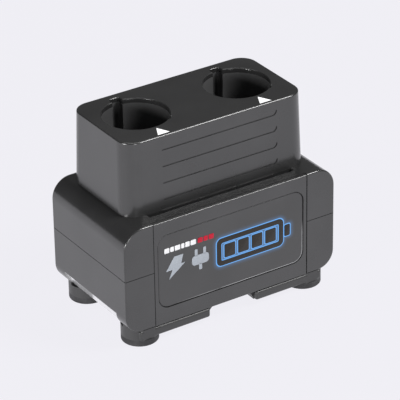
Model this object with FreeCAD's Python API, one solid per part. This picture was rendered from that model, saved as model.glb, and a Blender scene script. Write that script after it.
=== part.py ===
import FreeCAD, Part
import math
import os

# Two-bay battery charging base: a low housing on four round feet carries a tower
# with two keyed wells. Millimetres, +X along the front, +Y to the rear, +Z up,
# origin on the standing surface under the middle of the housing.

V = FreeCAD.Vector
X_AXIS, Y_AXIS, Z_AXIS = V(1, 0, 0), V(0, 1, 0), V(0, 0, 1)
SIDES = {"left": -1, "right": 1}
ENDS = {"front": -1, "rear": 1}

# ---- housing ----
base_w = 116.0
base_d = 63.8
base_bottom = 8.7
base_top = 62.0
parting_z = 37.0
parting_gap = 0.3
top_corner_r = 9.9
bottom_corner_r = 8.7
wall = 2.2
edge_r = 0.7
lip_t = 1.2
lip_h = 2.0
fit_gap = 0.15
screw_gap = 0.02

# ---- rails, feet and finger facets under the housing ----
rail_bottom = 3.5
rail_top = 8.2
rail_t = 2.8
rail_set_back = 0.1
groove_set_back = 1.0
rail_inset = 7.0
rail_end_r = 1.2
notch_x = 0.7
notch_half = 12.8
ramp_run = 6.5
buttress_t = 7.0
foot_r = 8.9
foot_inset_x = 12.2
foot_inset_y = 8.6
foot_h = 3.3
foot_edge_r = 0.7
foot_stem_r = 5.1
foot_stem_h = 3.8
facet_top = 17.0
facet_half = 23.0
facet_deg = 30.0
skid_gap = 0.02
stud_r = 1.5
stud_rise = 0.8
stud_inset_x = 20.0
stud_inset_y = 3.5

# ---- tower ----
tower_top = 98.8
tower_half_w = 48.8
tower_half_d = 24.4
tower_y = 3.3
tower_draft = 0.93
tower_corner_r = 8.2
tower_edge_r = 0.65
pillar_r = 3.0
pillar_h = 20.0
groove_count = 4
groove_top_z = 91.8
groove_pitch = 8.3
groove_w = 0.8
groove_depth = 0.4
groove_left_x = -29.7
groove_right_x = 30.4
groove_hook_r = 1.9

# ---- bays ----
bay_x = 27.7
bay_y = 4.5
bay_r = 15.9
cup_wall = 1.6
key_w = 5.5
key_depth = 3.3
key_corner_r = 1.2
index_w = 3.0
index_depth = 0.6
index_deg = -47.0
rim_r = 0.4
ledge_z = 43.0
well_r = 11.5
well_h = 5.0
cup_foot_h = 2.0
socket_h = 4.0
socket_wall = 1.5

# ---- bay contacts ----
contact_count = 3
contact_pitch = 5.0
contact_rise = 2.0
contact_travel = 1.5
pin_r = 1.0
pin_fit = 0.05
collar_r = 1.55
collar_h = 0.8
collar_gap = 0.1
tail_r = 0.75
tail_gap = 0.6
chamber_r = 1.75
block_r = 10.4
block_h = 7.0
block_flange_r = 14.6
contact_board_t = 1.2
stake_r = 0.8
stake_y = 6.5
block_screw_y = 12.6
spring_r = 1.2
spring_wire_r = 0.15
spring_turns = 6

# ---- front panel and lit badge ----
panel_half = 42.25
panel_gap = 0.3
panel_t = 2.0
panel_back_gap = 0.15
panel_top_drop = 0.2
panel_edge_r = 0.35
badge_side = 2.15
badge_bottom = 16.9
badge_top = 54.6
badge_corner_r = 5.5
badge_gap = 0.3
badge_t = 0.9
badge_sink = 0.3
window_w = 46.0
window_side = 3.6
window_bottom = 25.5
window_top = 47.5
window_gap = 0.1
badge_board_margin = 3.5
badge_board_t = 1.2
badge_led = 1.6
badge_led_h = 0.5
badge_led_columns = 6
badge_led_rows = 3
peg_r = 1.5
peg_side = 4.25
peg_inset = 4.6

# ---- light strip in the deck ----
slot_half = 40.0
slot_front = -25.2
bar_half = 30.7
bar_t = 1.8
bar_drop = 0.9
bar_y = -23.6
bar_flange_half = 44.0
bar_flange_w = 5.6
bar_flange_t = 1.6
strip_board_t = 1.0
strip_screw_x = 42.0
strip_pad_h = 0.6
strip_led_count = 9
strip_led_l = 2.0
strip_led_h = 0.4

# ---- inner parts ----
ballast_half_w = 32.0
ballast_half_d = 23.0
ballast_t = 3.0
ballast_screw_x = 27.0
board_half_w = 40.0
board_front = -25.0
board_rear = 24.0
board_z = 19.0
board_t = 1.6
post_inset_x = 3.6
post_inset_y = 4.4
post_r = 3.0
jack_w = 9.0
jack_back = 17.3
jack_h = 11.0
jack_set_back = 0.8
jack_nose_r = 4.2
jack_bore_r = 3.15
jack_bore_back = 20.5
jack_pin_r = 1.0
jack_pin_set_back = 3.5
vent_count = 6
vent_w = 1.6
vent_pitch = 3.6
vent_bottom = 20.0
vent_top = 33.0
vent_first_x = 12.0
rear_panel_half = 34.0
rear_panel_bottom = 14.0
rear_panel_top = 34.0
rear_panel_corner_r = 2.0
rear_panel_sink = 0.1
rear_tab_h = 12.0
rear_tab_reach = 1.5
rear_tab_t = 1.2
label_half_w = 24.0
label_half_d = 9.0
label_t = 0.2
wire_r = 0.6
ballast_washer_r = 5.0
ballast_washer_t = 0.8
capacitor_r = 4.0
capacitor_h = 10.0
capacitor_xs = (-16.0, -6.0, 6.0, 16.0)
capacitor_y = -17.0
coil_half = 5.0
coil_h = 6.0
coil_x = 14.0
coil_y = 17.0
chip_half = 4.0
chip_h = 1.4
sink_half_w = 6.5
sink_half_d = 8.0
sink_base_t = 2.0
sink_h = 10.0
sink_fins = 5
socket_half_w = 4.5
socket_half_d = 2.5
socket_body_h = 4.0
socket_x = 30.0
socket_y = -12.0
sink_fin_t = 1.0
harness_pitch = 2.4
harness_bend = 1.3

# ---- alignment arrows ----
arrow_tip_gap = 1.7
arrow_base_inset = 1.7
arrow_half = 3.1
arrow_t = 0.35
arrow_proud = 0.03
arrow_gap = 0.04

# ---- screws and their bosses ----
housing_boss_r = 4.6
housing_shank_r = 1.5
housing_head_r = 2.9
housing_access_r = 3.2
housing_seat_z = 26.0
housing_screw_l = 12.0
housing_pillar_r = 3.6
housing_pillar_top = 46.0
tower_screw_inset = 4.1
tower_shank_r = 1.25
tower_screw_l = 10.0
small_shank_r = 0.9
small_head_r = 1.7
small_head_h = 1.3
post_shank_r = 1.2
post_head_r = 2.3
post_screw_l = 7.0
shank_clearance = 0.2
boss_drop = 5.0
boss_gap = 0.2

# ---- worked-out places ----
half_w = base_w / 2
half_d = base_d / 2
foot_x = half_w - foot_inset_x
foot_y = half_d - foot_inset_y
rail_half = half_w - rail_inset
rail_outer = half_d - rail_set_back
rail_inner = rail_outer - rail_t
floor_z = base_bottom + wall
deck_under = base_top - wall
tower_under = tower_top - wall
tower_screw_x = tower_half_w - tower_screw_inset
tower_screw_front = tower_y - tower_half_d + tower_screw_inset
tower_screw_rear = tower_y + tower_half_d - tower_screw_inset
tower_front_foot = tower_y - tower_half_d - tower_draft
arrow_tip_y = bay_y - bay_r - arrow_tip_gap
arrow_base_y = tower_y - tower_half_d + arrow_base_inset
block_top = ledge_z - well_h
cup_bottom = block_top - cup_foot_h
block_bottom = cup_bottom - block_h
board_top = board_z + board_t
panel_back = panel_t - half_d
recess_back = panel_back + panel_back_gap
backing_back = recess_back + wall
recess_half = panel_half + panel_gap
badge_half = panel_half - badge_side
window_right = badge_half - window_side
window_left = window_right - window_w
peg_x = panel_half - peg_side
post_x = board_half_w - post_inset_x
post_y = board_rear - post_inset_y
badge_front = badge_sink - half_d
badge_back = badge_front + badge_t
jack_z = board_top + jack_h / 2
jack_face = half_d - jack_set_back
boss_top = parting_z - lip_h - boss_drop
strip_board_top = deck_under - bar_flange_t - strip_pad_h


# ---- shapes ----
def box(x0, x1, y0, y1, z0, z1):
    return Part.makeBox(x1 - x0, y1 - y0, z1 - z0, V(x0, y0, z0))


def rod(radius, start, end):
    """A round bar between two points."""
    along = end.sub(start)
    return Part.makeCylinder(radius, along.Length, start, along)


def post(radius, x, y, z0, z1):
    return Part.makeCylinder(radius, z1 - z0, V(x, y, z0), Z_AXIS)


def fuse(shapes):
    whole = shapes[0]
    if len(shapes) > 1:
        whole = whole.multiFuse(shapes[1:])
    return whole.removeSplitter()


def cut(shape, tools):
    return shape.cut(Part.makeCompound(tools)) if len(tools) == 1 else shape.cut(tools)


def edges_along(shape, axis, test):
    """Straight edges that run along an axis and whose middle passes a test."""
    found = []
    for edge in shape.Edges:
        if len(edge.Vertexes) != 2:
            continue
        span = edge.Vertexes[1].Point.sub(edge.Vertexes[0].Point)
        if span.Length < 1e-6 or abs(abs(span.normalize().dot(axis)) - 1) > 1e-3:
            continue
        if test(edge.CenterOfMass):
            found.append(edge)
    return found


def rounded_outline(x0, x1, z0, z1, low_r, high_r, y):
    """A closed outline in the XZ plane, with one radius low down and one high up."""
    s = math.sqrt(0.5)
    corners = [
        (x1 - low_r, z0 + low_r, low_r, 1, -1),
        (x1 - high_r, z1 - high_r, high_r, 1, 1),
        (x0 + high_r, z1 - high_r, high_r, -1, 1),
        (x0 + low_r, z0 + low_r, low_r, -1, -1),
    ]
    starts = [(0, -1), (1, 0), (0, 1), (-1, 0)]
    arcs = []
    for (cx, cz, r, sx, sz), (ax, az), (bx, bz) in zip(corners, starts, starts[1:] + starts[:1]):
        first = V(cx + r * ax, y, cz + r * az)
        middle = V(cx + r * s * sx, y, cz + r * s * sz)
        last = V(cx + r * bx, y, cz + r * bz)
        arcs.append((first, middle, last))
    edges = []
    for here, after in zip(arcs, arcs[1:] + arcs[:1]):
        edges.append(Part.Arc(*here).toShape())
        edges.append(Part.LineSegment(here[2], after[0]).toShape())
    return Part.Wire(edges)


def plate_y(x0, x1, z0, z1, corner, y0, y1):
    """A plate with round corners that stands in the XZ plane."""
    outline = rounded_outline(x0, x1, z0, z1, corner, corner, y0)
    return Part.Face(outline).extrude(V(0, y1 - y0, 0))


def base_block(inset):
    """The housing's outer form, drawn in by an inset all round."""
    y0 = inset - half_d
    outline = rounded_outline(
        inset - half_w,
        half_w - inset,
        base_bottom + inset,
        base_top - inset,
        bottom_corner_r - inset,
        top_corner_r - inset,
        y0,
    )
    return Part.Face(outline).extrude(V(0, -2 * y0, 0))


def tower_block(inset, z0, z1):
    """The tower's drafted form between two heights, drawn in by an inset."""
    slope = tower_draft / (tower_top - base_top)
    low = (tower_top - z0) * slope - inset
    high = (tower_top - z1) * slope - inset
    block = Part.makeWedge(
        -tower_half_w - low,
        z0,
        -tower_half_d - low,
        -tower_half_d - high,
        -tower_half_w - high,
        tower_half_w + low,
        z1,
        tower_half_d + low,
        tower_half_d + high,
        tower_half_w + high,
    )
    block.rotate(V(0, 0, 0), X_AXIS, 90)
    block.translate(V(0, tower_y, 0))
    upright = [
        e
        for e in block.Edges
        if abs(e.Vertexes[0].Point.z - e.Vertexes[1].Point.z) > (z1 - z0) / 2
    ]
    return block.makeFillet(tower_corner_r - inset, upright)


def bay_profile(offset, x, z0, z1):
    """A bay's section, a round bore with a keyway and an index notch, grown by an offset."""
    bore = post(bay_r + offset, x, bay_y, z0, z1)
    key_half = key_w / 2 + offset
    key_y = bay_y + bay_r + key_depth + offset
    key = box(x - key_half, x + key_half, bay_y, key_y, z0, z1)
    key = key.makeFillet(
        min(key_corner_r + offset, key_half * 0.9),
        edges_along(key, Z_AXIS, lambda c: c.y > key_y - 0.1),
    )
    parts = [bore, key]
    if offset < index_depth:
        reach = bay_r + index_depth + offset
        index_half = index_w / 2 + offset
        index = box(0, reach, -index_half, index_half, z0, z1)
        index.rotate(V(0, 0, 0), Z_AXIS, index_deg)
        index.translate(V(x, bay_y, 0))
        parts.append(index)
    return fuse(parts)


def screw(x, y, z_head, z_end, shank_r, head_r, head_h):
    """A cross-head screw that goes in along Z, with its head beyond z_head."""
    up = 1 if z_end > z_head else -1
    head = rod(head_r, V(x, y, z_head - up * head_h), V(x, y, z_head))
    shank = rod(shank_r, V(x, y, z_head), V(x, y, z_end))
    bar = head_r * 0.6
    slot_w = head_r * 0.22
    depth = head_h * 0.5
    low, high = sorted((z_head - up * head_h, z_head - up * (head_h - depth)))
    cross = [
        box(x - bar, x + bar, y - slot_w, y + slot_w, low, high),
        box(x - slot_w, x + slot_w, y - bar, y + bar, low, high),
    ]
    return cut(fuse([head, shank]), cross)


def bent_tube(points, radius, bend):
    """A round wire along straight runs that tangent arcs join."""
    edges = []
    here = points[0]
    for before, corner, after in zip(points, points[1:], points[2:]):
        into = corner.sub(before).normalize()
        out = after.sub(corner).normalize()
        turn = math.acos(max(-1.0, min(1.0, into.dot(out))))
        trim = bend * math.tan(turn / 2)
        start = corner.sub(V(into).multiply(trim))
        end = corner.add(V(out).multiply(trim))
        inward = out.sub(into).normalize()
        reach = bend / math.cos(turn / 2) - bend
        middle = corner.add(V(inward).multiply(reach))
        edges.append(Part.LineSegment(here, start).toShape())
        edges.append(Part.Arc(start, middle, end).toShape())
        here = end
    edges.append(Part.LineSegment(here, points[-1]).toShape())
    path = Part.Wire(edges)
    ring = Part.Wire([Part.Circle(points[0], points[1].sub(points[0]), radius).toShape()])
    return path.makePipeShell([ring], True, False)


def four(x, y):
    return [(sx * x, sy * y) for sx in SIDES.values() for sy in ENDS.values()]


def contact_xs(side):
    first = side * bay_x - contact_pitch * (contact_count - 1) / 2
    return [first + i * contact_pitch for i in range(contact_count)]


# ---- fastener places ----
tower_screw_places = [
    (side * tower_screw_x, y)
    for side in SIDES.values()
    for y in (tower_screw_front, tower_screw_rear)
]
panel_peg_places = [
    (side * peg_x, z)
    for side in SIDES.values()
    for z in (base_bottom + peg_inset, base_top - peg_inset)
]


# ---- housing shells ----
def housing():
    """Both shells as one hollow body, before they are parted."""
    body = base_block(0)
    rim = [e for e in body.Edges if abs(abs(e.CenterOfMass.y) - half_d) < 1e-3]
    body = body.makeFillet(edge_r, rim)
    hollow = base_block(wall)
    solid = base_block(0)
    backing_half = recess_half + wall
    backing = box(-backing_half, backing_half, -half_d, backing_back, base_bottom, base_top)
    hollow = hollow.cut(backing)
    body = body.cut(hollow)
    recess = box(
        -recess_half, recess_half, -half_d - 1, recess_back, base_bottom - 1, base_top + 1
    )
    window = box(
        window_left, window_right, -half_d, backing_back + 1, window_bottom, window_top
    )
    pegs = [
        rod(peg_r + fit_gap / 3, V(x, -half_d, z), V(x, backing_back + 1, z))
        for x, z in panel_peg_places
    ]
    body = cut(body, [recess, window] + pegs)
    return body.common(solid)


def end_facets():
    """Wedges that slice a sloping finger facet off the lower edge of each end."""
    drop = facet_top - base_bottom
    lean = drop * math.tan(math.radians(facet_deg))
    wedges = []
    for side in SIDES.values():
        outline = [
            V(side * half_w, -facet_half, facet_top),
            V(side * (half_w - lean), -facet_half, facet_top - drop),
            V(side * (half_w + 2), -facet_half, facet_top - drop),
            V(side * (half_w + 2), -facet_half, facet_top),
        ]
        face = Part.Face(Part.makePolygon(outline + outline[:1]))
        wedges.append(face.extrude(V(0, 2 * facet_half, 0)))
    return wedges


def skid(side, end):
    """One corner's skid: a rail, its ramp beside the notch, and the seat of a foot."""
    drop = base_bottom - rail_bottom
    ramp_r = (ramp_run**2 + drop**2) / (2 * drop)
    notch_end = notch_x + side * notch_half
    x0, x1 = sorted((notch_end, side * rail_half))
    y0, y1 = sorted((end * rail_inner, end * rail_outer))
    rail = box(x0, x1, y0, y1, rail_bottom, rail_top)
    long_edges = edges_along(rail, X_AXIS, lambda c: abs(abs(c.y) - rail_outer) < 0.1)
    rail = rail.makeFillet(rail_end_r, long_edges)
    end_edges = edges_along(rail, Y_AXIS, lambda c: c.z < rail_top - 1)
    rail = rail.makeFillet(rail_end_r, end_edges)
    w0, w1 = sorted((end * rail_inner, end * (rail_outer - groove_set_back)))
    web = box(x0, x1, w0, w1, rail_top - 0.5, base_bottom)
    b0, b1 = sorted((end * (rail_inner - buttress_t), end * (rail_inner + 0.5)))
    ramp_x = notch_end - side * ramp_run
    x2, x3 = sorted((ramp_x, side * foot_x))
    buttress = box(x2, x3, b0, b1, rail_bottom, base_bottom)
    scoop_z = base_bottom - ramp_r
    scoop = rod(ramp_r, V(ramp_x, b0 - 1, scoop_z), V(ramp_x, b1 + 1, scoop_z))
    x, y = side * foot_x, end * foot_y
    under = box(-half_w, half_w, -rail_outer, rail_outer, 0, base_top)
    seat = post(foot_r, x, y, foot_h, floor_z).common(under)
    body = fuse([rail, web, buttress.cut(scoop), seat])
    body = cut(body, [base_block(-skid_gap)] + end_facets())
    stud_x, stud_y = side * (foot_x - stud_inset_x), end * (rail_inner - stud_inset_y)
    body = fuse([body, post(stud_r, stud_x, stud_y, base_bottom - 1, floor_z + stud_rise)])
    holes = [
        post(foot_stem_r + fit_gap, x, y, 0, foot_h + foot_stem_h + fit_gap),
        post(housing_access_r, x, y, 0, floor_z),
    ]
    return cut(body, holes)


def lower_shell():
    shell = housing()
    keep = box(-half_w, half_w, -half_d, half_d, 0, parting_z - parting_gap / 2)
    shell = shell.common(keep)
    lip_low = parting_z - parting_gap / 2 - lip_h
    lip_high = parting_z + lip_h
    ring = base_block(wall - 0.01).cut(base_block(wall + lip_t))
    low_ring = ring.common(
        box(-half_w, half_w, -half_d, half_d, lip_low, parting_z - parting_gap / 2)
    )
    high_ring = base_block(wall + fit_gap).cut(base_block(wall + lip_t))
    high_ring = high_ring.common(box(-half_w, half_w, -half_d, half_d, lip_low, lip_high))
    lip = low_ring.fuse(high_ring)
    front_clear = recess_half + wall + fit_gap
    lip = lip.cut(
        box(-front_clear, front_clear, -half_d, backing_back + lip_t + 2, 0, base_top)
    )
    lip = cut(
        lip,
        [
            box(*sorted((side * (foot_x - 2.0), side * half_w)), y - 2.0, y + 2.0, 0, base_top)
            for side in SIDES.values()
            for y in (foot_y, -foot_y)
        ]
        + [
            box(x - 2.0, x + 2.0, *sorted((end * foot_y, end * half_d)), 0, base_top)
            for end in ENDS.values()
            for x in (foot_x, -foot_x)
        ],
    )
    solids = [shell, lip]
    outside = base_block(0)
    for x, y in four(foot_x, foot_y):
        solids.append(post(housing_boss_r, x, y, base_bottom, boss_top).common(outside))
    for x, y in four(post_x, post_y):
        solids.append(post(post_r, x, y, floor_z - 0.5, board_z))
    for side in SIDES.values():
        x = side * ballast_screw_x
        solids.append(post(post_r, x, 0, floor_z - 0.5, floor_z + ballast_t))
    body = fuse(solids)
    holes = []
    for x, y in four(foot_x, foot_y):
        stud_x = math.copysign(foot_x - stud_inset_x, x)
        stud_y = math.copysign(rail_inner - stud_inset_y, y)
        holes.append(post(stud_r + pin_fit, stud_x, stud_y, 0, floor_z + 1))
        holes.append(post(housing_access_r, x, y, 0, housing_seat_z))
        holes.append(post(housing_shank_r + shank_clearance, x, y, 0, boss_top + 1))
    for x, y in four(post_x, post_y):
        holes.append(post(post_shank_r + screw_gap, x, y, board_z - post_screw_l, board_z))
    for side in SIDES.values():
        x = side * ballast_screw_x
        holes.append(post(small_shank_r + screw_gap, x, 0, floor_z - 0.6, floor_z + ballast_t))
    holes += end_facets()
    holes.append(rear_panel_plate(fit_gap, half_d - wall - lip_t - 1, half_d + 1))
    holes.append(
        box(
            -label_half_w - fit_gap,
            label_half_w + fit_gap,
            -label_half_d - fit_gap,
            label_half_d + fit_gap,
            base_bottom - 1,
            base_bottom + label_t + 0.1,
        )
    )
    return cut(body, holes)


def rear_panel_plate(grow, y0, y1):
    """The rear panel's flat form between two depths, grown by an offset."""
    half = rear_panel_half + grow
    low, high = rear_panel_bottom - grow, rear_panel_top + grow
    return plate_y(-half, half, low, high, rear_panel_corner_r + grow, y0, y1)


def rear_panel():
    """The panel around the inlet, with its vents and a tab behind the wall at each end."""
    inner = half_d - wall
    solids = [rear_panel_plate(0, inner, half_d - rear_panel_sink)]
    middle = (rear_panel_bottom + rear_panel_top) / 2
    z0, z1 = middle - rear_tab_h / 2, middle + rear_tab_h / 2
    for side in SIDES.values():
        edge = side * (rear_panel_half - rear_panel_corner_r)
        x0, x1 = sorted((edge, side * (rear_panel_half + rear_tab_reach)))
        solids.append(box(x0, x1, inner - rear_tab_t, inner, z0, z1))
    inlet = rod(jack_nose_r + fit_gap, V(0, inner - 1, jack_z), V(0, half_d + 1, jack_z))
    holes = [inlet]
    for side in SIDES.values():
        for i in range(vent_count):
            x = side * (vent_first_x + i * vent_pitch)
            x0, x1 = x - vent_w / 2, x + vent_w / 2
            holes.append(box(x0, x1, inner - 1, half_d + 1, vent_bottom, vent_top))
    return cut(fuse(solids), holes)


def upper_shell():
    shell = housing()
    keep = box(-half_w, half_w, -half_d, half_d, parting_z + parting_gap / 2, base_top + 1)
    shell = shell.common(keep)
    inside = base_block(wall / 2)
    boss_low = boss_top + boss_gap
    solids = [shell]
    for x, y in four(foot_x, foot_y):
        solids.append(post(housing_pillar_r, x, y, boss_low, housing_pillar_top))
        sx, sy = math.copysign(1, x), math.copysign(1, y)
        rib_low = parting_z + parting_gap / 2
        to_end = box(*sorted((x, sx * half_w)), y - 0.8, y + 0.8, rib_low, housing_pillar_top)
        to_face = box(x - 0.8, x + 0.8, *sorted((y, sy * half_d)), rib_low, housing_pillar_top)
        solids += [to_end.common(inside), to_face.common(inside)]
    body = fuse(solids)
    holes = []
    for side in SIDES.values():
        holes.append(
            bay_profile(cup_wall + panel_gap, side * bay_x, deck_under - 1, base_top + 1)
        )
        x = side * strip_screw_x
        holes.append(post(small_shank_r + screw_gap, x, bar_y, deck_under - 1, base_top - 0.5))
    for x, y in tower_screw_places:
        holes.append(post(tower_shank_r + shank_clearance, x, y, deck_under - 1, base_top + 1))
    for x, y in four(foot_x, foot_y):
        top = housing_seat_z + housing_screw_l + 1
        holes.append(post(housing_shank_r + screw_gap, x, y, boss_low - 1, top))
    holes.append(
        box(-slot_half, slot_half, slot_front, tower_front_foot - 0.1, deck_under - 1, base_top + 1)
    )
    for x, z in badge_screw_places():
        start = V(x, backing_back + 1, z)
        holes.append(rod(small_shank_r + screw_gap, start, V(x, recess_back + 0.5, z)))
    return cut(body, holes)


# ---- tower ----
def tower_shell():
    body = tower_block(0, base_top, tower_top)
    rim = [e for e in body.Edges if abs(e.CenterOfMass.z - tower_top) < 1e-3]
    body = body.makeFillet(tower_edge_r, rim)
    body = body.cut(tower_block(wall, base_top - 1, tower_under))
    solids = [body]
    envelope = tower_block(wall / 2, base_top, tower_under)
    for x, y in tower_screw_places:
        pillar = post(pillar_r, x, y, base_top, base_top + pillar_h)
        solids.append(pillar.common(envelope))
    for side in SIDES.values():
        ring = bay_profile(
            cup_wall + pin_fit + socket_wall, side * bay_x, tower_under - socket_h, tower_under
        )
        solids.append(ring.common(envelope))
    body = fuse(solids)
    holes = []
    for side in SIDES.values():
        x = side * bay_x
        holes.append(
            bay_profile(cup_wall + pin_fit, x, tower_under - socket_h - 1, tower_under)
        )
        holes.append(bay_profile(cup_wall + fit_gap, x, base_top - 1, tower_under - socket_h))
        mouth = bay_profile(0, x, tower_under - 1, tower_top + 1)
        holes.append(mouth)
        arrow = arrow_prism(x, arrow_gap)
        holes.append(arrow)
    for x, y in tower_screw_places:
        top = base_top + tower_screw_l
        holes.append(post(tower_shank_r + screw_gap, x, y, base_top - 1, top))
    for i in range(groove_count):
        holes.append(groove(groove_top_z - i * groove_pitch))
    body = cut(body, holes)
    mouth_edges = [e for e in body.Edges if on_mouth(e)]
    return body.makeFillet(rim_r, mouth_edges)


def on_mouth(edge):
    """Whether an edge is part of a bay's outline in the tower's top face."""
    if any(abs(v.Point.z - tower_top) > 1e-3 for v in edge.Vertexes):
        return False
    reach = bay_r + key_depth + 1
    for side in SIDES.values():
        middle = edge.CenterOfMass
        ends = [v.Point for v in edge.Vertexes]
        centre = V(side * bay_x, bay_y, tower_top)
        near = all(p.sub(centre).Length < reach for p in ends)
        behind = all(p.y > arrow_tip_y + 1 for p in ends) and middle.y > arrow_tip_y + 1
        if near and (behind or edge.Length > bay_r):
            return True
    return False


def groove(z):
    """One finger groove: a straight run that hooks upwards at its right-hand end."""
    slope = tower_draft / (tower_top - base_top)
    face_y = tower_y - tower_half_d - (tower_top - z) * slope
    y0, y1 = face_y - 2, face_y + groove_depth
    half = groove_w / 2
    run = box(groove_left_x, groove_right_x, y0, y1, z - half, z + half)
    start = rod(half, V(groove_left_x, y0, z), V(groove_left_x, y1, z))
    centre = V(groove_right_x, y0, z + groove_hook_r)
    depth = V(0, y1 - y0, 0)
    outer = Part.makeCylinder(groove_hook_r + half, depth.Length, centre, Y_AXIS)
    inner = Part.makeCylinder(groove_hook_r - half, depth.Length, centre, Y_AXIS)
    quarter = box(
        groove_right_x, groove_right_x + 2 * groove_hook_r, y0, y1, z - half, z + groove_hook_r
    )
    hook = outer.cut(inner).common(quarter)
    tip_x = groove_right_x + groove_hook_r
    tip = rod(half, V(tip_x, y0, z + groove_hook_r), V(tip_x, y1, z + groove_hook_r))
    return fuse([run, start, hook, tip])


def arrow_prism(x, grow):
    """A flat triangle that points at a bay from the front edge of the tower's top."""
    low = tower_top - arrow_t
    high = tower_top + (1 if grow else arrow_proud)
    tip = V(x, arrow_tip_y + 2 * grow, low)
    left = V(x - arrow_half - grow, arrow_base_y - grow, low)
    right = V(x + arrow_half + grow, arrow_base_y - grow, low)
    face = Part.Face(Part.makePolygon([tip, left, right, tip]))
    return face.extrude(V(0, 0, high - low))


# ---- bays and contacts ----
def bay_cup(side):
    x = side * bay_x
    outer = bay_profile(cup_wall, x, cup_bottom, tower_under)
    holes = [
        bay_profile(0, x, ledge_z, tower_under),
        post(well_r, x, bay_y, block_top, ledge_z + 1),
        post(block_flange_r + fit_gap, x, bay_y, cup_bottom - 1, block_top),
    ]
    for end in ENDS.values():
        y = bay_y + end * block_screw_y
        holes.append(post(small_shank_r + screw_gap, x, y, block_top, block_top + 4))
    return cut(outer, holes)


def contact_block(side):
    x = side * bay_x
    flange = post(block_flange_r, x, bay_y, cup_bottom, block_top)
    barrel = post(block_r, x, bay_y, block_bottom, block_top)
    stake_end = block_bottom - contact_board_t - 0.4
    stakes = [
        post(stake_r, x, bay_y + end * stake_y, stake_end, block_bottom + 1)
        for end in ENDS.values()
    ]
    body = fuse([flange, barrel] + stakes)
    holes = []
    for contact_x in contact_xs(side):
        holes.append(post(pin_r + pin_fit, contact_x, bay_y, block_bottom, block_top + 1))
        chamber_top = block_top - cup_foot_h
        holes.append(post(chamber_r, contact_x, bay_y, block_bottom - 1, chamber_top))
    for end in ENDS.values():
        y = bay_y + end * block_screw_y
        holes.append(post(small_shank_r + fit_gap, x, y, cup_bottom - 1, block_top + 1))
    return cut(body, holes)


def contact_pin(x):
    """A plunger: rounded tip, collar that stops under the block's roof, and spring tail."""
    tip_z = block_top + contact_rise
    collar_top = cup_bottom - collar_gap
    collar_low = collar_top - collar_h
    stem = post(pin_r, x, bay_y, collar_top - 0.1, tip_z)
    rim = [e for e in stem.Edges if abs(e.CenterOfMass.z - tip_z) < 1e-3]
    stem = stem.makeFillet(pin_r * 0.8, rim)
    collar = post(collar_r, x, bay_y, collar_low, collar_top)
    tail_end = block_bottom + contact_travel + tail_gap
    tail = post(tail_r, x, bay_y, tail_end, collar_low + 0.1)
    return fuse([stem, collar, tail])


def contact_spring(x):
    """A coil between the contact board and the plunger's collar."""
    low = block_bottom + 2 * spring_wire_r
    high = cup_bottom - collar_gap - collar_h - 2 * spring_wire_r
    pitch = (high - low) / spring_turns
    helix = Part.makeHelix(pitch, high - low, spring_r)
    path = Part.Wire(helix.Edges)
    start = V(spring_r, 0, 0)
    along = V(0, 2 * math.pi * spring_r, pitch)
    ring = Part.Wire([Part.Circle(start, along, spring_wire_r).toShape()])
    coil = path.makePipeShell([ring], True, True)
    coil.translate(V(x, bay_y, low))
    return coil


def contact_board(side):
    x = side * bay_x
    disc = post(block_r, x, bay_y, block_bottom - contact_board_t, block_bottom)
    holes = [
        post(stake_r + pin_fit, x, bay_y + end * stake_y, block_bottom - 3, block_bottom + 1)
        for end in ENDS.values()
    ]
    return cut(disc, holes)


def contact_screws():
    screws = []
    for side in SIDES.values():
        for end in ENDS.values():
            y = bay_y + end * block_screw_y
            screws.append(
                screw(
                    side * bay_x,
                    y,
                    cup_bottom,
                    block_top + 3.5,
                    small_shank_r,
                    small_head_r,
                    small_head_h,
                )
            )
    return screws


# ---- front panel, badge and its light ----
def front_panel():
    low = base_bottom
    high = base_top - panel_top_drop
    body = box(-panel_half, panel_half, -half_d, panel_back, low, high)
    front_edges = [
        e
        for e in body.Edges
        if all(abs(v.Point.y + half_d) < 1e-3 for v in e.Vertexes)
    ]
    body = body.makeFillet(panel_edge_r, front_edges)
    pegs = [
        rod(peg_r, V(x, panel_back - 0.5, z), V(x, backing_back - 0.1, z))
        for x, z in panel_peg_places
    ]
    body = fuse([body] + pegs)
    pocket = plate_y(
        -badge_half - badge_gap,
        badge_half + badge_gap,
        badge_bottom - badge_gap,
        badge_top + badge_gap,
        badge_corner_r + badge_gap,
        -half_d - 1,
        badge_back,
    )
    window = box(window_left, window_right, -half_d, panel_back + 1, window_bottom, window_top)
    return cut(body, [pocket, window])


def badge_plate():
    body = plate_y(
        -badge_half, badge_half, badge_bottom, badge_top, badge_corner_r, badge_front, badge_back
    )
    rim = [e for e in body.Edges if all(abs(v.Point.y - badge_front) < 1e-3 for v in e.Vertexes)]
    return body.makeFillet(badge_t * 0.3, rim)


def badge_diffuser():
    return box(
        window_left + window_gap,
        window_right - window_gap,
        badge_back,
        backing_back - badge_led_h - 0.2,
        window_bottom + window_gap,
        window_top - window_gap,
    )


def badge_screw_places():
    inset = badge_board_margin / 2
    return [
        (window_left - inset, window_top - inset),
        (window_right + inset, window_top - inset),
    ]


def badge_light_board():
    board = box(
        window_left - badge_board_margin,
        window_right + badge_board_margin,
        backing_back,
        backing_back + badge_board_t,
        window_bottom - badge_board_margin,
        window_top + badge_board_margin / 2,
    )
    holes = [
        rod(small_shank_r + fit_gap, V(x, backing_back - 1, z), V(x, 0, z))
        for x, z in badge_screw_places()
    ]
    return cut(board, holes)


def badge_lights():
    lights = []
    step_x = (window_right - window_left) / badge_led_columns
    step_z = (window_top - window_bottom) / badge_led_rows
    for i in range(badge_led_columns):
        for j in range(badge_led_rows):
            x = window_left + (i + 0.5) * step_x
            z = window_bottom + (j + 0.5) * step_z
            half = badge_led / 2
            front = backing_back - badge_led_h
            lights.append(box(x - half, x + half, front, backing_back, z - half, z + half))
    return lights


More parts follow.
